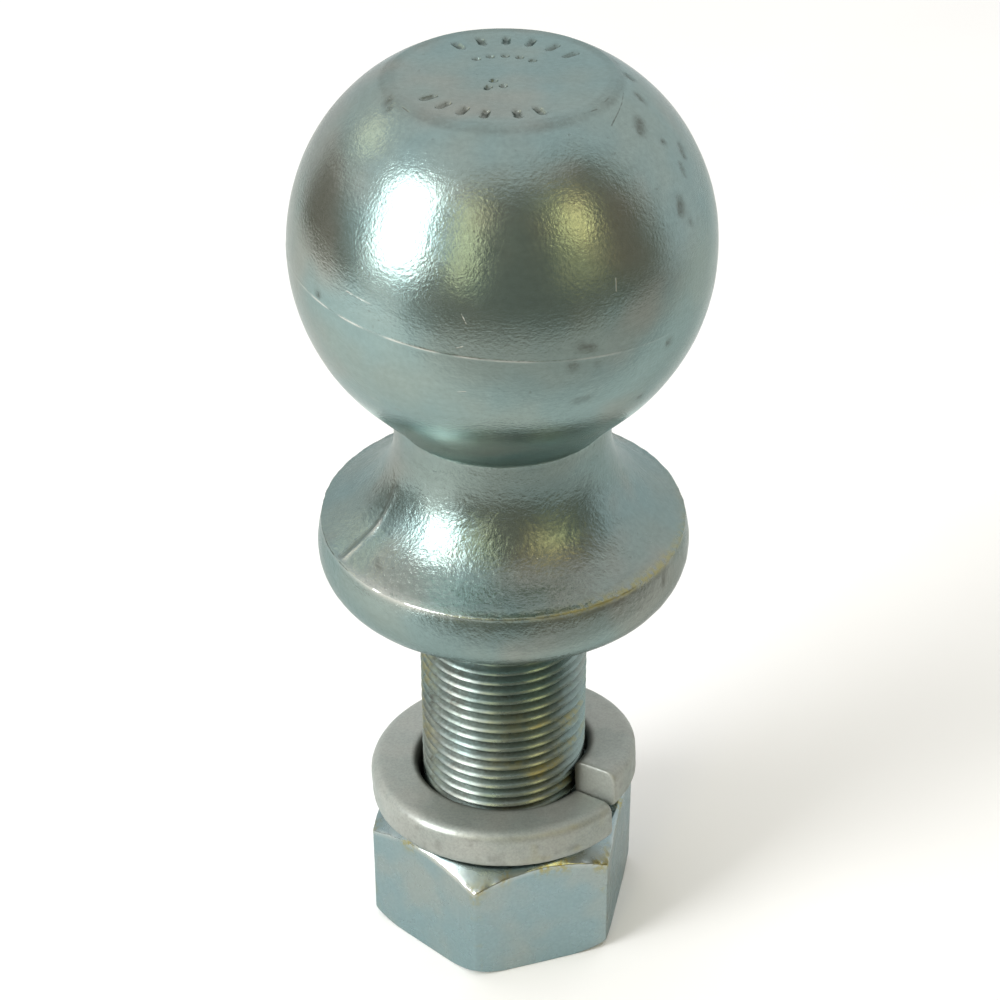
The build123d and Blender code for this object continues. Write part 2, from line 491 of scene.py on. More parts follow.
# A shallow hollow follows it to the left.
BESIDE_FOLD = [(azimuth - 2.2, height) for azimuth, height in FLANGE_FOLD]
FLANGE_NICKS = [([(-139.6, 12.4), (-136.3, 12.1)], 0.3, 0.12), ([(-32, 9.6), (-33, 8.1)], 0.35, 0.12)]


def forging_relief(points, outline):
    """How far each point of the forging stands out from its plain outline."""
    height = points[..., 2]
    radius, azimuth = polar(points)
    on_ball = smooth_step(height, 30 * MM, 34 * MM)
    on_flange = 1 - smooth_step(height, 24 * MM, 30 * MM)
    relief = (0.05 * MM * on_ball + 0.10 * MM * on_flange) * lumps(points, 9 * MM, 11)
    relief += (0.012 * MM * on_ball + 0.035 * MM * on_flange) * lumps(points, 2.2 * MM, 12)

    # Stamped marks, pits, scratches and the fold
    on_top = (height > TOP_Z - 0.2 * MM) & (radius < TOP_FLAT_RADIUS)
    relief -= np.where(on_top, 0.55 * MM * stamped_share(points), 0)
    for places, width, depth in BALL_PITS + BALL_SCRATCHES + FLANGE_NICKS:
        rough = 1 + 0.35 * lumps(points, 0.7 * MM, 13)
        relief -= depth * MM * hollow(from_mark(points, outline, places) * rough, width * MM)
    wander = 0.16 * MM * lumps(points, 1.3 * MM, 14) + 0.10 * MM * lumps(points, 0.7 * MM, 20)
    relief += 0.17 * MM * hollow(from_mark(points, outline, FLANGE_FOLD) + wander, 0.34 * MM)
    relief -= 0.10 * MM * hollow(from_mark(points, outline, BESIDE_FOLD), 0.5 * MM)

    # The die's seam round the ball, and the trimmed flash round the flange
    seam = bell(from_seam(points), 0.14 * MM) * seam_strength(azimuth)
    relief += 0.05 * MM * on_ball * seam * (0.75 + 0.5 * lumps(points, 1.6 * MM, 15))
    flash_height = PARTING_Z + 0.10 * MM * lumps(points, 3.0 * MM, 16)
    on_rim = smooth_step(radius, 24 * MM, 26 * MM)
    flash = bell(height - flash_height, 0.26 * MM)
    ragged = 0.7 + 0.45 * lumps(points, 2.4 * MM, 17) + 0.35 * lumps(points, 0.9 * MM, 18)
    relief += 0.17 * MM * on_rim * flash * ragged
    trimmed = smooth_step(PARTING_Z - height, 0.2 * MM, 1.4 * MM) * smooth_step(height, 3 * MM, 8 * MM)
    relief += on_rim * trimmed * 0.035 * MM * lumps(points, 1.3 * MM, 19)
    return relief


def make_hitch_ball():
    """Ball, neck, flange and threaded shank as one closed mesh."""
    around = ring_azimuths(308)
    shank_around = ring_azimuths(154)
    outline = forging_outline()
    rows = follow_seam(turned(outline, around))
    rows = rows + grid_normals(rows) * forging_relief(rows, outline)[..., None]
    rows[-1] = turned(outline[-1:], around)[0]
    shell = Shell()
    shell.fan(rows[0], rows[0].mean(axis=0), flip=True)
    shell.grid(rows)

    seat_edge = tuple(outline[-1])
    seat = straight(seat_edge, (SHANK_RADIUS, 0), 2.0 * MM)
    shoulder = straight((SHANK_RADIUS, 0), (SHANK_RADIUS, SHOULDER_Z), 1.5 * MM)
    seat_rows = turned(join(seat, shoulder), shank_around)
    shell.halve(rows[-1], seat_rows[1])
    shell.grid(seat_rows[1:])

    wrap = np.linspace(0, TAU, len(shank_around) + 1)
    heights = thread_rows(wrap, TIP_Z, SHOULDER_Z)
    runout_share = (heights - SHOULDER_Z + RUNOUT_LENGTH) / RUNOUT_LENGTH
    runout = ROOT_RADIUS + (SHANK_RADIUS - ROOT_RADIUS) * runout_share
    chamfer = CREST_RADIUS - TIP_CHAMFER + heights - TIP_Z
    radius = np.minimum(np.maximum(thread_radius(wrap, heights), runout), chamfer)
    points = about_axis(radius, wrap, heights)
    along_thread = smooth_step(heights, TIP_Z, TIP_Z + 2 * MM) * smooth_step(-heights, -SHOULDER_Z, 8 * MM)
    worn = 0.03 * MM * lumps(points, 1.7 * MM, 21) * along_thread
    points[..., :2] *= (1 + worn / radius)[..., None]
    shell.grid(points[::-1], closed=False)

    tip_radius = CREST_RADIUS - TIP_CHAMFER
    tip = turned(straight((tip_radius, TIP_Z), (1.5 * MM, TIP_Z), 2.4 * MM), shank_around)
    shell.grid(tip)
    shell.fan(tip[-1], (0, 0, TIP_Z))
    return shell.build("hitch_ball_forging", 50)


# ---- nut

def hexagon_radius(azimuths):
    """Distance from the axis to the nut's sides, with the six corners rounded."""
    sharpness = 150
    total = np.zeros_like(azimuths)
    for k in range(6):
        face = math.radians(NUT_CORNER_AZIMUTH + 30 + 60 * k)
        total += np.clip(np.cos(azimuths - face), 0.01, None) ** sharpness
    return HALF_FLATS / total ** (1 / sharpness)


def nut_azimuths():
    """Azimuths all round, closer together at the six corners."""
    share = np.linspace(-1, 1, 64, endpoint=False)
    sector = math.radians(30) * (0.25 * share + 0.75 * share**3)
    corners = math.radians(NUT_CORNER_AZIMUTH) + np.arange(6) * TAU / 6
    return (corners[:, None] + sector).ravel()


def top_edge_height(radius):
    """Where the cone that blunts the nut's top corners stands at a radius."""
    slope = NUT_CHAMFER_DROP / (HALF_FLATS / math.cos(math.radians(30)) - NUT_TOP_FACE_RADIUS)
    return NUT_TOP_Z - slope * (radius - NUT_TOP_FACE_RADIUS)


def rounded(before, corner, after, radius, count):
    """Rows that round a corner of the outline; each argument holds one (radius, height) per azimuth."""
    back, on = before - corner, after - corner
    back_length = np.linalg.norm(back, axis=1, keepdims=True)
    on_length = np.linalg.norm(on, axis=1, keepdims=True)
    cosine = np.sum(back * on, axis=1, keepdims=True) / (back_length * on_length)
    half = np.arccos(np.clip(cosine, -1, 1)) / 2
    reach = np.minimum(radius / np.tan(half), 0.45 * np.minimum(back_length, on_length))
    start, end = corner + back / back_length * reach, corner + on / on_length * reach
    return [(1 - s) ** 2 * start + 2 * s * (1 - s) * corner + s**2 * end for s in np.linspace(0, 1, count)]


def between(start, end, count):
    """Rows evenly spaced between two rows, both left out."""
    return [start + (end - start) * k / (count + 1) for k in range(1, count + 1)]


def grid_normals(rows):
    """Outward directions of a closed grid whose columns run anticlockwise and whose rows run down."""
    down = np.gradient(rows, axis=0)
    round_ = np.roll(rows, -1, axis=1) - np.roll(rows, 1, axis=1)
    normals = np.cross(down, round_)
    return normals / np.maximum(np.linalg.norm(normals, axis=-1, keepdims=True), 1e-12)


def make_hex_nut():
    """The nut as one closed mesh: coned top, rounded base edge, countersinks and internal thread."""
    azimuths = nut_azimuths()
    side = hexagon_radius(azimuths)

    def column(radius, height):
        return np.stack([radius + 0 * side, height + 0 * side], axis=1)

    base_start = np.minimum(NUT_BASE_FACE_RADIUS, side - 0.6 * MM)
    base_turn = np.arcsin(np.clip((side - base_start) / NUT_BASE_ROUND, 0, 1))
    base_rise = NUT_BASE_ROUND * (1 - np.cos(base_turn))
    top_inner = column(COUNTERSINK_RADIUS, NUT_TOP_Z)
    top_outer = column(NUT_TOP_FACE_RADIUS, NUT_TOP_Z)
    top_edge = column(side, top_edge_height(side))
    low_edge = column(side, NUT_BASE_Z + base_rise)
    base_inner = column(COUNTERSINK_RADIUS, NUT_BASE_Z)
    base_rows = [
        column(
            base_start + NUT_BASE_ROUND * np.sin(base_turn * share),
            NUT_BASE_Z + NUT_BASE_ROUND * (1 - np.cos(base_turn * share)),
        )
        for share in np.linspace(0.6, 0, 8)
    ]
    cone_start = rounded(top_inner, top_outer, top_edge, 0.5 * MM, 4)
    cone_end = rounded(top_outer, top_edge, low_edge, 0.45 * MM, 8)
    side_end = rounded(top_edge, low_edge, base_rows[0], 0.6 * MM, 5)
    outline = (
        [top_inner] + between(top_inner, cone_start[0], 5)
        + cone_start + between(cone_start[-1], cone_end[0], 5)
        + cone_end + between(cone_end[-1], side_end[0], 24)
        + side_end + base_rows + between(base_rows[-1], base_inner, 5) + [base_inner]
    )
    outline = np.array(outline)
    rows = about_axis(outline[..., 0], azimuths, outline[..., 1])
    inner = smooth_step(outline[..., 0], COUNTERSINK_RADIUS, COUNTERSINK_RADIUS + 1 * MM)
    rows = rows + grid_normals(rows) * (nut_relief(rows) * inner)[..., None]
    shell = Shell()
    shell.grid(rows)

    wrap = np.append(azimuths, azimuths[0] + TAU)
    heights = thread_rows(wrap, NUT_BASE_Z, NUT_TOP_Z)
    top_sink = COUNTERSINK_RADIUS - (NUT_TOP_Z - heights)
    base_sink = COUNTERSINK_RADIUS - (heights - NUT_BASE_Z)
    radius = np.maximum(thread_radius(wrap, heights, THREAD_CLEARANCE), np.maximum(top_sink, base_sink))
    shell.grid(about_axis(radius, wrap, heights), closed=False)
    return shell.build("hex_nut_forged", 40)


def edge_distance(points):
    """Each point's distance from the curved edge where the nut's cone meets its sides."""
    radius, azimuth = polar(points)
    side = hexagon_radius(azimuth)
    return np.hypot(radius - side, points[..., 2] - top_edge_height(side))


def nut_relief(points):
    """How far each point of the nut stands out from its plain shape."""
    relief = 0.035 * MM * lumps(points, 6 * MM, 31) + 0.012 * MM * lumps(points, 1.5 * MM, 32)
    on_edge = bell(edge_distance(points), 0.5 * MM)
    ragged = lumps(points, 1.4 * MM, 33) + 0.6 * lumps(points, 0.6 * MM, 34)
    return relief + 0.11 * MM * on_edge * ragged


# ---- lock washer

def bar_section(step):
    """The washer bar's cross-section as a closed ring of (radius, height above its middle)."""
    half = WASHER_THICKNESS / 2
    out, out_r = WASHER_OUTSIDE - WASHER_OUTER_ROUND, WASHER_OUTER_ROUND
    bore, bore_r = WASHER_BORE + WASHER_BORE_ROUND, WASHER_BORE_ROUND
    ring = join(
        arc((out, half - out_r), out_r, 0, 90, step),
        straight((out, half), (bore, half), step),
        arc((bore, half - bore_r), bore_r, 90, 180, step),
        straight((WASHER_BORE, half - bore_r), (WASHER_BORE, bore_r - half), step),
        arc((bore, bore_r - half), bore_r, 180, 270, step),
        straight((bore, -half), (out, -half), step),
        arc((out, out_r - half), out_r, 270, 360, step),
        straight((WASHER_OUTSIDE, out_r - half), (WASHER_OUTSIDE, half - out_r), step),
    )
    return ring[:-1]


def make_lock_washer():
    """The split ring as one closed mesh, along a left-hand helix and tilted as it lies on the nut."""
    section = bar_section(0.34 * MM)
    middle = np.array([(WASHER_BORE + WASHER_OUTSIDE) / 2, 0])
    half_size = np.array([(WASHER_OUTSIDE - WASHER_BORE) / 2, WASHER_THICKNESS / 2])
    sweep = math.radians(360 - WASHER_GAP)
    bevel = 0.35 * MM
    curve = np.radians([0, 30, 60, 90])
    end = [(0.0, inset * MM) for inset in (2.6, 1.9, 1.2, 0.7)]
    end += list(zip(bevel * (1 - np.cos(curve)) / middle[0], bevel * (1 - np.sin(curve))))
    body = np.linspace(bevel / middle[0], sweep - bevel / middle[0], 380)[1:-1]
    stations = end + [(turn, 0.0) for turn in body] + [(sweep - turn, inset) for turn, inset in end[::-1]]
    rows = []
    for turn, inset in stations:
        shrunk = middle + (section - middle) * (1 - inset / half_size)
        height = shrunk[:, 1] + WASHER_RISE * (turn / sweep - 0.5)
        rows.append(about_axis(shrunk[:, 0], math.radians(WASHER_SPLIT_AZIMUTH) - turn, height))
    rows = np.array(rows)
    outward = -grid_normals(rows)
    relief = 0.05 * MM * lumps(rows, 4.5 * MM, 41) + 0.02 * MM * lumps(rows, 1.1 * MM, 42)
    relief += 0.012 * MM * lumps(rows, 0.55 * MM, 43)
    rows = rows + outward * relief[..., None]
    high = math.radians(WASHER_HIGH_SIDE)
    tilt = Matrix.Rotation(math.radians(WASHER_TILT), 3, Vector((math.sin(high), -math.cos(high), 0)))
    rows = rows @ np.array(tilt).T + np.array([0, 0, WASHER_CENTRE_Z])
    shell = Shell()
    shell.grid(rows)
    shell.fan(rows[0], rows[0].mean(axis=0), flip=True)
    shell.fan(rows[-1], rows[-1].mean(axis=0))
    return shell.build("split_lock_washer", 50)


# ---- what the materials read

def patches(points, size, seed, low, high):
    """Smooth-edged patches from 0 to 1, where the lumps stand between low and high."""
    return smooth_step(lumps(points, size, seed), low, high)


def thread_share(points):
    """1 on the thread and 0 above it."""
    return smooth_step(-points[:, 2], 5 * MM, 7 * MM)


def forging_tarnish_and_shade(points, outline):
    """Dull and dark: pits, the stamped marks and the thread's worn far left; and painted shade along the top
    flat's edge, in the thread's root grooves, down its left side, beside the fold and under the rim.
    """
    radius, turn = polar(points)
    azimuth, height = np.degrees(turn), points[:, 2]
    on_thread = thread_share(points)
    spots = [
        0.8 * bell(from_mark(points, outline, places), 1.25 * width * MM) * min(1, depth / 0.16)
        for places, width, depth in BALL_PITS + FLANGE_NICKS
    ]
    # Painted shade in the shallow hollow to the left of the fold.
    shaded_beside_fold = 0.5 * hollow(from_mark(points, outline, BESIDE_FOLD), 0.5 * MM)
    on_top = smooth_step(height, TOP_Z - 0.8 * MM, TOP_Z - 0.6 * MM) * (radius < TOP_FLAT_RADIUS)
    stamped = 0.6 * on_top * stamped_share(points * (1, 1, 0) + (0, 0, TOP_Z))
    # Painted shade: a dark line along the top flat's edge.
    top_edge = bell(TOP_Z - 0.25 * MM - height, 0.24 * MM) * (radius > TOP_FLAT_RADIUS)
    top_edge = top_edge * (0.4 + 0.25 * lumps(points, 2.5 * MM, 64))
    depth_share = np.clip((CREST_RADIUS - radius) / (CREST_RADIUS - ROOT_RADIUS), 0, 1)
    # Painted shade in the thread's root grooves.
    shaded_roots = on_thread * depth_share**0.7 * (0.55 + 0.3 * lumps(points, 3 * MM, 51))
    # Painted shade: the thread's left side is darkened.
    shaded_thread_left = bell(azimuth + 128, 26) * on_thread * (0.62 + 0.25 * lumps(points, 2 * MM, 60))
    left_wear = bell(azimuth + 152, 16) * on_thread * (0.45 + 0.55 * lumps(points, 1.1 * MM, 52))
    # Painted shade: a dark line just under the flange's rim, on the right.
    shaded_under_rim = bell(PARTING_Z - 0.75 * MM - height, 0.4 * MM) * (radius > 24 * MM)
    shaded_under_rim *= bell(azimuth + 50, 30) * patches(points, 2.0 * MM, 58, -0.6, 0.2)
    shades = [shaded_beside_fold, stamped, top_edge, shaded_roots, shaded_thread_left, left_wear, 0.5 * shaded_under_rim]
    return np.maximum.reduce(spots + shades)


def rim_share(points):
    """1 along the trimmed flash round the flange."""
    return bell(points[:, 2] - PARTING_Z, 0.45 * MM) * smooth_step(polar(points)[0], 24 * MM, 26 * MM)


def forging_stain_and_reflection(points):
    """Yellow: stain on the right and left of the thread, and a painted warm reflection on the flange's rim
    to the right.
    """
    azimuth = np.degrees(polar(points)[1])
    along = points * (1, 1, 2.6)
    stain = smooth_step(lumps(along, 6 * MM, 53) + 0.5 * lumps(along, 1.6 * MM, 54), -0.15, 0.65)
    right = 0.8 * bell(azimuth + 50, 38) * smooth_step(-points[:, 2], 12 * MM, 24 * MM) * stain
    left = 0.6 * bell(azimuth + 165, 14) * thread_share(points)
    left = left * patches(points, 4 * MM, 55, -0.3, 0.4)
    # Painted reflection: warm yellow along the flange's rim on the right.
    rim = 0.9 * rim_share(points) * bell(azimuth + 48, 38)
    return np.maximum.reduce([right, left, rim])


def forging_bare_and_highlight(points, outline):
    """Bright: worn zinc along the seam, brightest on the left as a painted highlight; painted highlights on
    the flange's rim to the left, on the fold and on the thread's crests.
    """
    radius, turn = polar(points)
    azimuth, height = np.degrees(turn), points[:, 2]
    # Worn zinc along the seam, brightest on the left as a painted highlight.
    seam = bell(from_seam(points), 0.13 * MM) * seam_strength(turn) ** 2
    seam = 0.9 * seam * patches(points, 2.4 * MM, 56, -0.5, 0.3) * (height > 40 * MM)
    # Painted highlight on the flange's rim to the left.
    rim = 0.7 * rim_share(points) * bell(azimuth + 125, 22)
    # Painted highlight on the lower part of the fold.
    fold = smooth_step(-height, -17.5 * MM, -15 * MM) * patches(points, 1.2 * MM, 59, -0.6, 0.2)
    fold = 0.9 * fold * bell(from_mark(points, outline, FLANGE_FOLD), 0.3 * MM)
    # Painted highlight on the thread's crests to the left.
    crest = thread_share(points) * smooth_step(radius, CREST_RADIUS - 0.35 * MM, CREST_RADIUS - 0.05 * MM)
    crest = 0.25 * crest * bell(azimuth + 118, 22) * patches(points, 2.6 * MM, 57, -0.5, 0.3)
    return np.maximum.reduce([seam, rim, fold, crest])


def mark_forging(piece):
    """tarnish_and_shade, stain_and_reflection and bare_and_highlight, as above. as_forged: the neck and
    flange.
    painted_light_under_ball: painted light that lightens the zinc under the ball. thread: 1 on the thread."""
    points = vertices_of(piece)
    outline = forging_outline()
    height = points[:, 2]
    on_thread = thread_share(points)
    store(piece, "tarnish_and_shade", forging_tarnish_and_shade(points, outline))
    store(piece, "stain_and_reflection", forging_stain_and_reflection(points))
    store(piece, "bare_and_highlight", forging_bare_and_highlight(points, outline))
    store(piece, "thread", on_thread)
    store(piece, "as_forged", smooth_step(-height, -31 * MM, -27 * MM) * (1 - on_thread))
    # Painted light: the zinc under the ball is made lighter.
    under_ball = smooth_step(-height, -41 * MM, -36 * MM) * smooth_step(height, 28 * MM, 29 * MM)
    store(piece, "painted_light_under_ball", under_ball)


def mark_nut(piece):
    """bare_and_highlight: the bright, nicked edge under the cone, with a painted highlight to the left
    front.
    stain_and_reflection: yellow stain on it and by the corners, and a painted warm reflection at the front
    corner.
    tarnish_and_shade: painted shade on the thread inside."""
    points = vertices_of(piece)
    near = edge_distance(points)
    radius, turn = polar(points)
    azimuth = np.degrees(turn)
    # Worn edge all round, with a painted highlight where it faces the left front.
    chipped_and_highlit = 0.35 + 0.65 * hollow(azimuth + 118, 16)
    bare_and_highlight = bell(near, 0.45 * MM) * patches(points, 2.5 * MM, 61, -0.6, 0.2) * chipped_and_highlit
    stain = bell(near, 1.3 * MM) * patches(points, 3.0 * MM, 62, 0.0, 0.5)
    stain *= 1 - 0.7 * hollow(azimuth + 124, 14)
    # Painted reflection: warm yellow at the front corner.
    warm_corner_reflection = 0.7 * bell(near, 1.4 * MM) * bell(azimuth + 101, 4)
    corner = smooth_step(radius, 20.9 * MM, 21.4 * MM)
    corner = 0.35 * corner * patches(points, 1.5 * MM, 63, 0.1, 0.5)
    # Painted shade inside the nut's bore.
    bore = smooth_step(-radius, -14.5 * MM, -13.5 * MM)
    store(piece, "bare_and_highlight", bare_and_highlight)
    store(piece, "stain_and_reflection", np.maximum.reduce([stain, warm_corner_reflection, corner]))
    store(piece, "tarnish_and_shade", 0.6 * bore)


def mark_washer(piece):
    """tarnish_and_shade: pits near the outer edge, and painted shade in the bore. stain_and_reflection:
    yellow stain in front. bare_and_highlight: bright edge.
    """
    points = vertices_of(piece)
    radius, turn = polar(points)
    azimuth = np.degrees(turn)
    outer = smooth_step(radius, 19.6 * MM, 20.4 * MM)
    pitted = smooth_step(lumps(points, 1.0 * MM, 71) + 0.5 * lumps(points, 3.5 * MM, 72), 0.2, 0.9)
    # Painted shade inside the washer's bore.
    bore = smooth_step(-radius, -14.6 * MM, -13.5 * MM)
    stain = outer * bell(azimuth + 62, 22) * patches(points, 2.2 * MM, 73, 0.1, 0.6)
    store(piece, "tarnish_and_shade", np.maximum(0.22 * outer * pitted, 0.8 * bore))
    store(piece, "stain_and_reflection", 0.35 * stain)
    store(piece, "bare_and_highlight", outer * bell(azimuth + 124, 20))


# ---- materials

class Paint:
    """A short way to write the nodes of a material or a world."""

    def __init__(self, owner):
        owner.use_nodes = True
        self.owner = owner
        self.tree = owner.node_tree
        self.tree.nodes.clear()
        self.coordinates = self.add("TexCoord", {}).outputs
        self.place = self.coordinates["Object"]

    def add(self, kind, inputs, **settings):
        """A shader node of a kind, with values or links for its inputs."""
        node = self.tree.nodes.new("ShaderNode" + kind)
        for name, value in settings.items():
            setattr(node, name, value)
        for name, value in inputs.items():
            socket = node.inputs[name]
            if isinstance(value, bpy.types.NodeSocket):
                self.tree.links.new(value, socket)
            else:
                socket.default_value = value
        return node

    def noise(self, size, detail=2.0, roughness=0.5, stretch=None):
        """Noise from 0 to 1 whose features are about size across; stretch scales its axes."""
        place = self.place
        if stretch:
            place = self.add("Mapping", {"Vector": place, "Scale": stretch}).outputs["Vector"]
        inputs = {"Vector": place, "Scale": 1 / size, "Detail": detail, "Roughness": roughness}
        return self.add("TexNoise", inputs).outputs["Fac"]

    def value(self, name):
        """A value stored on the mesh."""
        return self.add("Attribute", {}, attribute_name=name).outputs["Fac"]

    def spread(self, value, low, high, to_low=0.0, to_high=1.0):
        inputs = {"Value": value, "From Min": low, "From Max": high, "To Min": to_low, "To Max": to_high}
        return self.add("MapRange", inputs, interpolation_type="SMOOTHSTEP").outputs["Result"]

    def sum(self, a, b, operation="ADD", clamp=False):
        """The two values added, or put together by another operation."""
        return self.add("Math", {0: a, 1: b}, operation=operation, use_clamp=clamp).outputs[0]

    def mottle(self, size, detail, low, high, to_low=0.0, to_high=1.0):
        """Noise of a size, stretched so that low to high becomes to_low to to_high."""
        return self.spread(self.noise(size, detail), low, high, to_low, to_high)

    def plus(self, base, *terms):
        """The base, with each (value, weight) added to it."""
        for value, weight in terms:
            base = self.sum(base, self.times(value, weight))
        return base

    def times(self, a, b):
        return self.sum(a, b, "MULTIPLY")

    def larger(self, a, b):
        return self.sum(a, b, "MAXIMUM")

    def tinted(self, colour, factor):
        """The colour made lighter or darker by a factor near 1."""
        level = self.add("CombineColor", {"Red": factor, "Green": factor, "Blue": factor})
        return self.mix(1.0, colour, level.outputs["Color"], "MULTIPLY")

    def vector(self, operation, inputs):
        return self.add("VectorMath", inputs, operation=operation).outputs

    def hairline(self, start, end, half_width):
        """1 along a straight line between two points, falling to 0 beside it."""
        start, run = Vector(start), Vector(end) - Vector(start)
        leg = self.vector("SUBTRACT", {0: self.place, 1: start})[0]
        share = self.vector("DOT_PRODUCT", {0: leg, 1: run / run.length_squared})["Value"]
        share = self.sum(share, 0.0, clamp=True)
        foot = self.vector("SCALE", {0: run, "Scale": share})[0]
        gap = self.vector("DISTANCE", {0: leg, 1: foot})["Value"]
        return self.spread(gap, half_width, 0.0)

    def hairlines(self, lines):
        """All the forging's hairlines of one kind, each broken up a little along its length."""
        outline = forging_outline()
        total = 0.0
        for start, end, half_width in lines:
            ends = (surface_point(outline, *start), surface_point(outline, *end))
            total = self.larger(self.hairline(*ends, half_width * MM), total)
        return self.times(total, self.mottle(0.6 * MM, 2, 0.3, 0.55, 0.25, 1.0))

    def mix(self, share, a, b, blend="MIX"):
        node = self.add("Mix", {}, data_type="RGBA", blend_type=blend)
        for index, value in ((0, share), (6, a), (7, b)):
            if isinstance(value, bpy.types.NodeSocket):
                self.tree.links.new(value, node.inputs[index])
            else:
                node.inputs[index].default_value = value
        return node.outputs[2]

    def bump(self, height, depth, normal=None):
        inputs = {"Height": height, "Strength": 1.0, "Distance": depth}
        if normal:
            inputs["Normal"] = normal
        return self.add("Bump", inputs).outputs["Normal"]

    def metal(self, colour, roughness, normal, metallic=1.0, haze=0.0):
        """A metal surface; haze is the share of it that scatters widely about each reflection."""
        inputs = {"Base Color": colour, "Roughness": roughness, "Normal": normal, "Metallic": metallic}
        inputs["Specular Tint"] = RIM_TINT
        surface = self.add("BsdfPrincipled", inputs).outputs[0]
        if haze:
            wide = self.add("BsdfPrincipled", {**inputs, "Roughness": HAZE_ROUGHNESS}).outputs[0]
            surface = self.add("MixShader", {0: haze, 1: surface, 2: wide}).outputs[0]
        self.add("OutputMaterial", {"Surface": surface})
        return self.owner


BLUE_ZINC = (0.235, 0.325, 0.318, 1)
GREY_ZINC = (0.262, 0.328, 0.305, 1)
PINK_ZINC = (0.300, 0.322, 0.290, 1)
# Yellow of the stains, also used for painted warm reflections.
YELLOW_STAIN_AND_REFLECTION = (0.34, 0.31, 0.13, 1)
RIM_TINT = (0.72, 0.77, 0.77, 1)      # how the zinc reflects at a glancing angle
# Dark of pits and cracks, also used for painted shade.
DARK_TARNISH_AND_SHADE = (0.075, 0.070, 0.055, 1)
# Bright of worn zinc and scratches, also used for painted highlights.
BARE_ZINC_AND_HIGHLIGHT = (0.66, 0.67, 0.62, 1)
WASHER_GREY = (0.326, 0.358, 0.334, 1)
WASHER_LIGHT = (0.364, 0.382, 0.354, 1)
NUT_BLUE = (0.262, 0.358, 0.376, 1)
NUT_WARM = (0.318, 0.370, 0.358, 1)
HAZE_ROUGHNESS = 0.48


def zinc_forging():
    """Blue-passivated zinc over a forged and ground surface: satin, with tints, scratches and stains, and
    painted light, shade, highlights and reflections.
    """
    paint = Paint(bpy.data.materials.new("forging_finish"))
    colour = paint.mix(paint.mottle(13 * MM, 2, 0.35, 0.65), BLUE_ZINC, GREY_ZINC)
    colour = paint.mix(paint.mottle(17 * MM, 2, 0.48, 0.70), colour, PINK_ZINC)
    colour = paint.tinted(colour, paint.mottle(0.7 * MM, 5, 0.3, 0.7, 0.95, 1.04))
    streaks = paint.noise(1.6 * MM, 4, 0.6, (0.3, 0.3, 2.2))
    colour = paint.tinted(colour, paint.spread(streaks, 0.3, 0.7, 0.97, 1.03))
    speckled = paint.mottle(11 * MM, 2, 0.5, 0.66)
    specks = paint.times(speckled, paint.mottle(0.8 * MM, 2, 0.68, 0.76, 0.0, 0.4))
    tarnish_and_shade = paint.larger(paint.value("tarnish_and_shade"), specks)
    as_forged, painted_light_under_ball = paint.value("as_forged"), paint.value("painted_light_under_ball")
    colour = paint.tinted(colour, paint.spread(as_forged, 0.0, 1.0, 1.0, 0.88))
    # Painted light: the colour under the ball is made up to 1.9 times lighter.
    colour = paint.tinted(colour, paint.spread(painted_light_under_ball, 0.0, 1.0, 1.0, 1.9))
    # Dark: pits, cracks and stamped marks, with painted shade in the thread's root grooves, down its left
    # side, along the top flat's edge, beside the fold and under the rim.
    dark = paint.times(tarnish_and_shade, paint.mottle(0.5 * MM, 3, 0.3, 0.6, 0.55, 1.0))
    cracks = paint.hairlines(DARK_HAIRLINES)
    colour = paint.mix(paint.larger(dark, paint.times(cracks, 0.8)), colour, DARK_TARNISH_AND_SHADE)
    # Yellow: stains, with a painted warm reflection along the rim on the right.
    stain_and_reflection = paint.times(paint.value("stain_and_reflection"), paint.mottle(0.9 * MM, 4, 0.3, 0.6))
    colour = paint.mix(stain_and_reflection, colour, YELLOW_STAIN_AND_REFLECTION)
    # Bright: scratches and worn zinc, with painted highlights on the seam, the rim, the fold and the
    # thread's crests.
    scratches = paint.hairlines(BRIGHT_HAIRLINES)
    colour = paint.mix(paint.larger(scratches, paint.value("bare_and_highlight")), colour, BARE_ZINC_AND_HIGHLIGHT)
    rough = paint.mottle(4 * MM, 3, 0.3, 0.7, 0.16, 0.21)
    thread = paint.value("thread")
    rough = paint.plus(rough, (as_forged, 0.05), (thread, 0.06), (tarnish_and_shade, 0.22), (stain_and_reflection, 0.15))
    grain = paint.spread(as_forged, 0.0, 1.0, 0.044 * MM, 0.060 * MM)
    grain = paint.times(grain, paint.spread(thread, 0.0, 1.0, 1.0, 0.22))
    normal = paint.bump(paint.noise(0.42 * MM, 3, 0.6), grain)
    normal = paint.bump(paint.noise(0.6 * MM, 3, 0.5, (0.35, 0.35, 2.4)), 0.010 * MM, normal)
    normal = paint.bump(paint.noise(1.8 * MM, 2), 0.018 * MM, normal)
    pitted = paint.times(paint.noise(1.0 * MM, 3, 0.6), as_forged)
    normal = paint.bump(pitted, 0.11 * MM, normal)
    normal = paint.bump(paint.sum(cracks, scratches), -0.03 * MM, normal)
    return paint.metal(colour, rough, normal, haze=0.20)


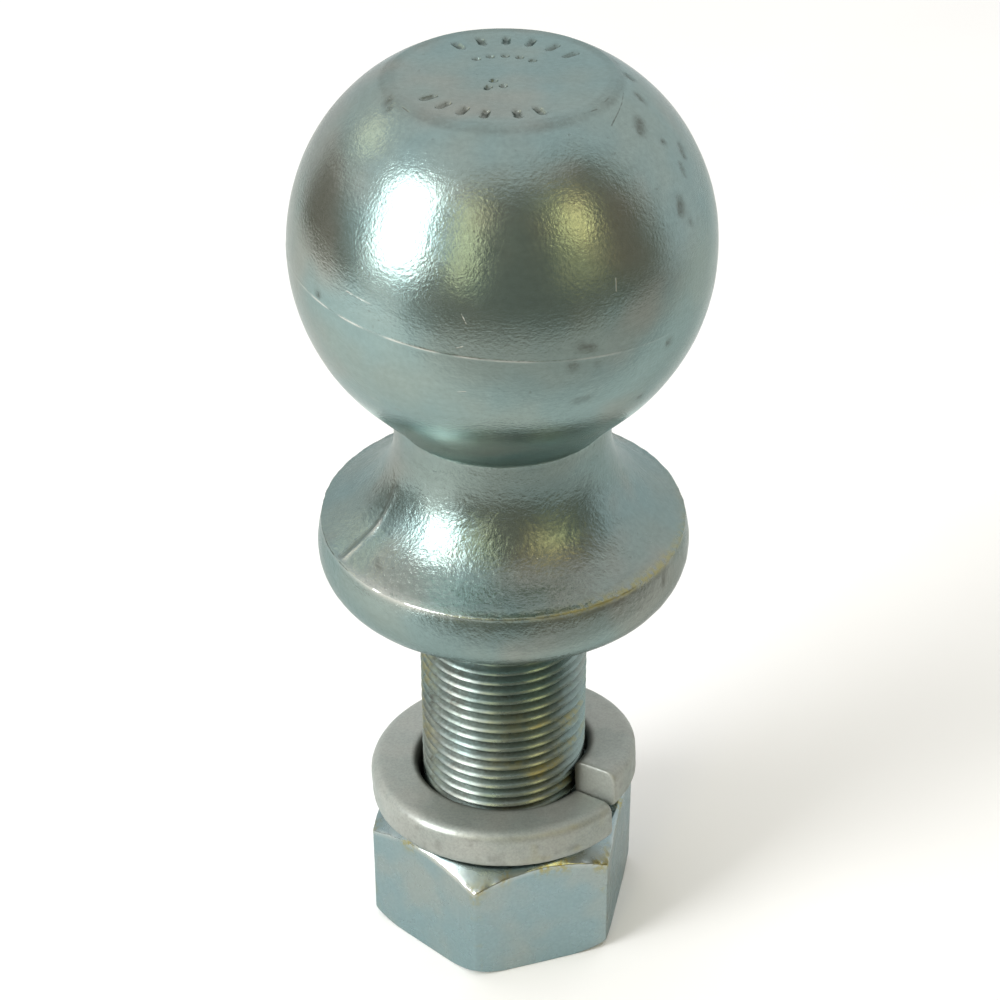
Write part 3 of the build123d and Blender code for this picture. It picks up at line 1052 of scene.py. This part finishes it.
def zinc_nut():
    """The same zinc on a cold-formed nut: smoother, bluer faces with warm mottling and worn edges, a painted
    highlight on the left-front edge, a painted warm reflection at the front corner and painted shade in the
    bore.
    """
    paint = Paint(bpy.data.materials.new("nut_finish"))
    colour = paint.mix(paint.mottle(10 * MM, 2, 0.38, 0.68), NUT_BLUE, NUT_WARM)
    colour = paint.tinted(colour, paint.mottle(0.5 * MM, 5, 0.3, 0.7, 0.96, 1.04))
    # Worn edge, with a painted highlight to the left front.
    colour = paint.mix(paint.value("bare_and_highlight"), colour, BARE_ZINC_AND_HIGHLIGHT)
    stain_and_reflection = paint.times(paint.value("stain_and_reflection"), paint.mottle(0.7 * MM, 4, 0.35, 0.6))
    colour = paint.mix(stain_and_reflection, colour, YELLOW_STAIN_AND_REFLECTION)
    # Painted shade in the bore.
    colour = paint.mix(paint.value("tarnish_and_shade"), colour, DARK_TARNISH_AND_SHADE)
    rough = paint.mottle(3 * MM, 3, 0.3, 0.7, 0.24, 0.32)
    rough = paint.sum(rough, paint.times(paint.value("bare_and_highlight"), 0.08), "SUBTRACT")
    normal = paint.bump(paint.noise(0.35 * MM, 4, 0.6), 0.010 * MM)
    normal = paint.bump(paint.noise(2.2 * MM, 2), 0.016 * MM, normal)
    return paint.metal(colour, rough, normal)


def zinc_washer():
    """Mechanically plated spring steel: matt, warm grey and finely pitted, with painted shade in the bore.
    """
    paint = Paint(bpy.data.materials.new("washer_finish"))
    colour = paint.mix(paint.mottle(6 * MM, 3, 0.35, 0.65), WASHER_GREY, WASHER_LIGHT)
    colour = paint.tinted(colour, paint.spread(paint.noise(0.4 * MM, 5, 0.7), 0.3, 0.7, 0.88, 1.08))
    colour = paint.mix(paint.value("stain_and_reflection"), colour, YELLOW_STAIN_AND_REFLECTION)
    # Pits, and painted shade in the bore.
    colour = paint.mix(paint.value("tarnish_and_shade"), colour, DARK_TARNISH_AND_SHADE)
    bare_and_highlight = paint.value("bare_and_highlight")
    rough = paint.mottle(2 * MM, 3, 0.3, 0.7, 0.42, 0.52)
    rough = paint.sum(rough, paint.times(bare_and_highlight, 0.14), "SUBTRACT")
    normal = paint.bump(paint.noise(0.35 * MM, 4, 0.65), 0.030 * MM)
    normal = paint.bump(paint.noise(1.2 * MM, 2), 0.02 * MM, normal)
    return paint.metal(colour, rough, normal, paint.spread(bare_and_highlight, 0.0, 1.0, 0.5, 0.85))


# ---- pieces

PIECES = [
    (make_hitch_ball, mark_forging, zinc_forging, "stud", "hitch_ball", "zinc_forging"),
    (make_lock_washer, mark_washer, zinc_washer, "washer", "lock_washer", "zinc_washer"),
    (make_hex_nut, mark_nut, zinc_nut, "nut", "hex_nut", "zinc_nut"),
]
for make, mark, material, body, node, slot in PIECES:
    piece = make()
    mark(piece)
    piece.data.materials.append(material())
    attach(piece, body)
    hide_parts(node)


# ---- floor, light and camera

FLOOR_REACH = 0.62       # the pale floor fades out this far from the object
FLOOR_FRONT = 0.24       # and sooner in front, where the room is dim
FLOOR_PALE, FLOOR_DIM = 0.98, 0.60
HALF_FLOOR = 1.5
TENT_WHITE = (1.0, 1.0, 1.0, 1)
ROOM_DIM = (0.27, 0.25, 0.20, 1)
LAMP_DISTANCE = 0.9
CAMERA_PLACE = (0, -298.04 * MM, 217.17 * MM)
CAMERA_PITCH, CAMERA_YAW, CAMERA_ROLL = 0.6020, -0.0015, 0.0035    # radians
CAMERA_LENS = 89.25


def make_floor():
    """A pale floor under the nut that fades into the white surround, with painted shade that makes it a
    little dimmer to the front and to the right.
    """
    shell = Shell()
    line = np.linspace(-HALF_FLOOR, HALF_FLOOR, 12)
    across, along = np.meshgrid(line, line)
    shell.grid(np.stack([across, along, NUT_BASE_Z + 0 * across], axis=-1), closed=False)
    floor = shell.build("floor", 30)
    paint = Paint(bpy.data.materials.new("floor_paint"))
    split = paint.add("SeparateXYZ", {"Vector": paint.place})
    x, y = split.outputs["X"], split.outputs["Y"]
    forward = paint.spread(y, -FLOOR_FRONT - 0.10, -FLOOR_FRONT)
    distance = paint.sum(paint.sum(x, 2.0, "POWER"), paint.sum(y, 2.0, "POWER"))
    distance = paint.sum(distance, 0.5, "POWER")
    near = paint.spread(distance, FLOOR_REACH, FLOOR_REACH * 0.7)
    towards_front = paint.sum(y, paint.times(x, -0.5))
    # Painted shade: the floor's tone falls towards the front and the right.
    tone = paint.spread(towards_front, -0.15, -0.04, FLOOR_DIM, FLOOR_PALE)
    tone = paint.times(tone, paint.mottle(60 * MM, 3, 0.3, 0.7, 0.98, 1.0))
    tone = paint.add("CombineColor", {"Red": tone, "Green": tone, "Blue": tone}).outputs["Color"]
    matt = paint.add("BsdfDiffuse", {"Color": tone}).outputs[0]
    clear = paint.add("BsdfTransparent", {}).outputs[0]
    surface = paint.add("MixShader", {0: paint.times(forward, near), 1: clear, 2: matt})
    paint.add("OutputMaterial", {"Surface": surface.outputs[0]})
    floor.data.materials.append(paint.owner)


def make_surround():
    """A white tent with a dim opening in front, where the room shows in the polished zinc."""
    world = bpy.data.worlds.new("surround")
    bpy.context.scene.world = world
    paint = Paint(world)
    split = paint.add("SeparateXYZ", {"Vector": paint.coordinates["Generated"]})
    x, y, z = (split.outputs[axis] for axis in "XYZ")
    azimuth = paint.times(paint.sum(x, paint.times(y, -1.0), "ARCTAN2"), 180 / math.pi)
    elevation = paint.times(paint.sum(z, 0.0, "ARCSINE"), 180 / math.pi)

    def window(left, right, low, high, soft):
        """1 inside a soft-edged rectangle of directions; azimuth is 0 towards the front and grows to +X."""
        edges = [
            paint.spread(azimuth, left - soft, left + soft),
            paint.spread(azimuth, right + soft, right - soft),
            paint.spread(elevation, low - soft, low + soft),
            paint.spread(elevation, high + soft, high - soft),
        ]
        return functools.reduce(paint.times, edges)

    wide = window(-132, 92, -24, 14, 9)
    tall = window(-34, 90, -24, 60, 10)
    opening = paint.larger(wide, tall)
    colour = paint.mix(opening, TENT_WHITE, ROOM_DIM)
    seen = paint.add("LightPath", {}).outputs["Is Camera Ray"]
    colour = paint.mix(seen, colour, TENT_WHITE)
    background = paint.add("Background", {"Color": colour, "Strength": 1.0})
    paint.add("OutputWorld", {"Surface": background.outputs[0]})


def make_lamp(name, azimuth, elevation, wide, high, radiance, colour, roll=0.0):
    """A soft rectangular lamp facing the ball, its width and height in degrees as the ball sees them;
    azimuth is 0 in front and grows to +X."""
    turn, rise = math.radians(azimuth), math.radians(elevation)
    towards = Vector((math.sin(turn) * math.cos(rise), -math.cos(turn) * math.cos(rise), math.sin(rise)))
    lamp = bpy.data.lights.new(name, "AREA")
    lamp.shape = "RECTANGLE"
    lamp.size = 2 * LAMP_DISTANCE * math.tan(math.radians(wide / 2))
    lamp.size_y = 2 * LAMP_DISTANCE * math.tan(math.radians(high / 2))
    lamp.energy = radiance * math.pi * lamp.size * lamp.size_y
    lamp.color = colour
    holder = bpy.data.objects.new(name, lamp)
    bpy.context.scene.collection.objects.link(holder)
    holder.location = Vector((0, 0, BALL_CENTRE_Z)) + towards * LAMP_DISTANCE
    rolled = towards.to_track_quat("Z", "Y") @ Quaternion((0, 0, 1), math.radians(roll))
    holder.rotation_euler = rolled.to_euler()


def make_camera():
    """A long lens in front of the object, looking down at it."""
    camera = bpy.data.objects.new("camera", bpy.data.cameras.new("camera"))
    bpy.context.scene.collection.objects.link(camera)
    camera.data.lens = CAMERA_LENS
    camera.data.sensor_width = 36
    place = Matrix.Translation(CAMERA_PLACE)
    for turn, axis in ((-CAMERA_YAW, "Z"), (math.pi / 2 - CAMERA_PITCH, "X"), (-CAMERA_ROLL, "Z")):
        place @= Matrix.Rotation(turn, 4, axis)
    camera.matrix_world = place
    bpy.context.scene.camera = camera


make_floor()
make_surround()
make_lamp("key_softbox", -60, 25, wide=25, high=42, radiance=8.5, colour=(1, 1, 1), roll=13)
make_lamp("key_spill", -62, 0, wide=30, high=24, radiance=0.8, colour=(1, 1, 1))
make_lamp("warm_right", 43, 26, wide=22, high=48, radiance=0.5, colour=(1.0, 0.83, 0.34))
make_lamp("warm_right_core", 45, 31, wide=11, high=17, radiance=2.3, colour=(1.0, 0.84, 0.36))
make_lamp("warm_left", -21, 28, wide=9, high=44, radiance=2.2, colour=(1.0, 0.90, 0.50))
make_lamp("warm_far_left", -120, 31, wide=16, high=10, radiance=1.4, colour=(1.0, 0.85, 0.5))
make_camera()
bpy.context.scene.view_settings.view_transform = "Standard"
